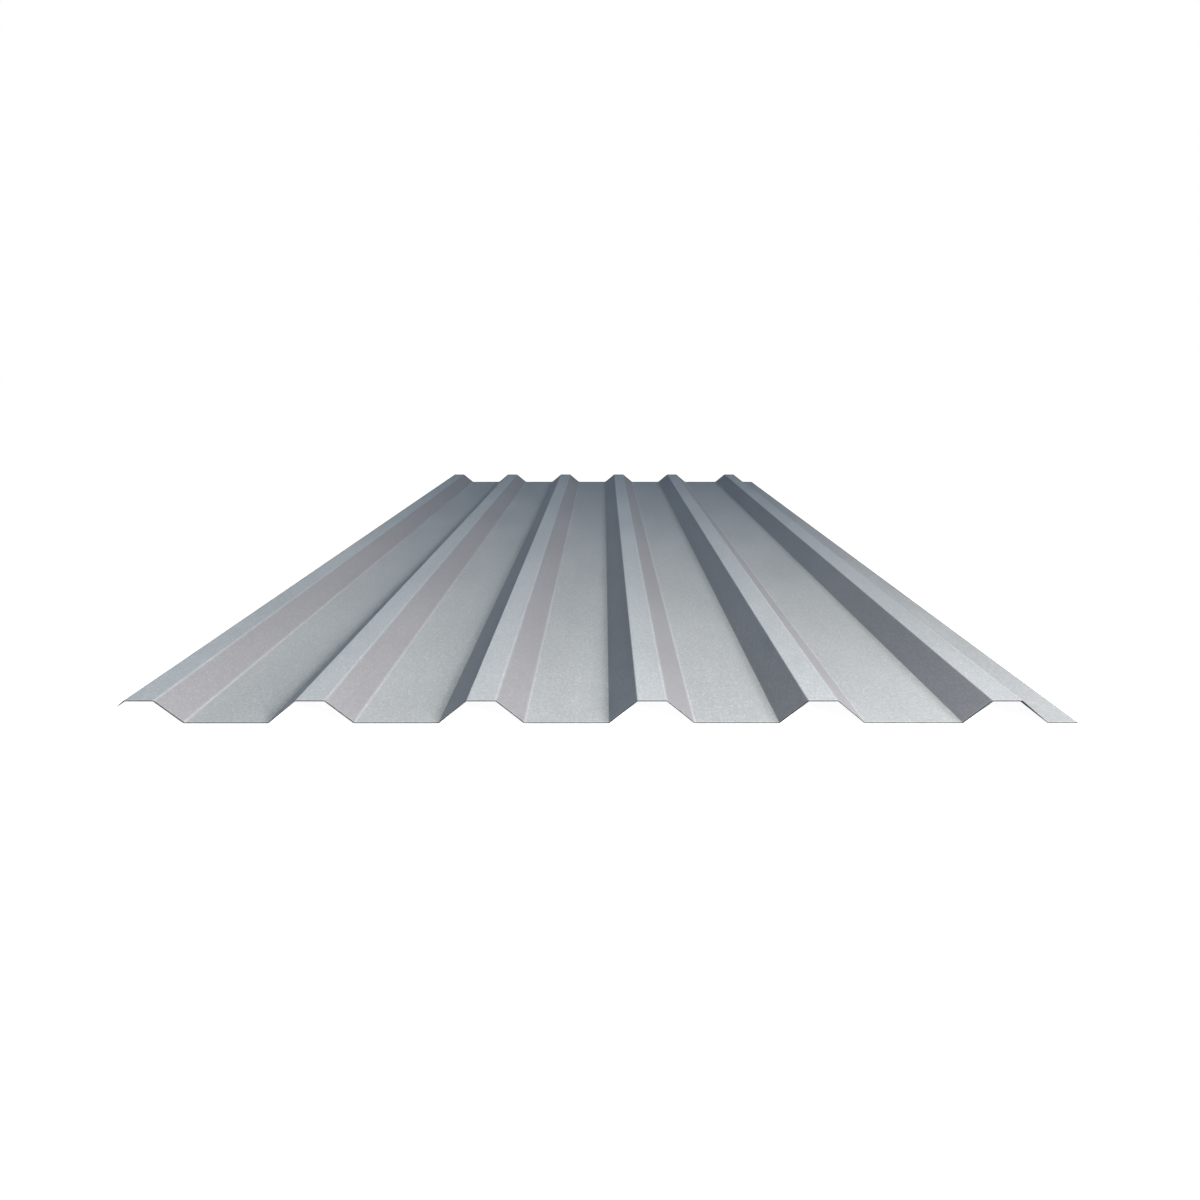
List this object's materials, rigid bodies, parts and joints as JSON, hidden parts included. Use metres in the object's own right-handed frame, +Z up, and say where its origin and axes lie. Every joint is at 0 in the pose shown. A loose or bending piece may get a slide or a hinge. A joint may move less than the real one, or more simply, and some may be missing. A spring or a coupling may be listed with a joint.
{
  "type": "corrugated metal sheet",
  "caption": "Trapezoidal corrugated metal sheet with flat-topped ribs, wide flat pans, a turned-down overlap lip and a flat underlap toe, for lapped roofs and walls.",
  "frame": {"origin": "centre of the sheet's footprint, on the plane of the pans' undersides that it lies on", "axes": "+Y along the ribs, +X across the ribs from the overlap lip to the underlap toe, +Z up, out of the crowns"},
  "size_m": [1.1094, 2.44, 0.0277],
  "materials": {
    "zinc_steel": "matt zinc coating with a fine metallic grain"
  },
  "bodies": {
    "root": {"sheet": "zinc_steel"}
  },
  "joints": []
}
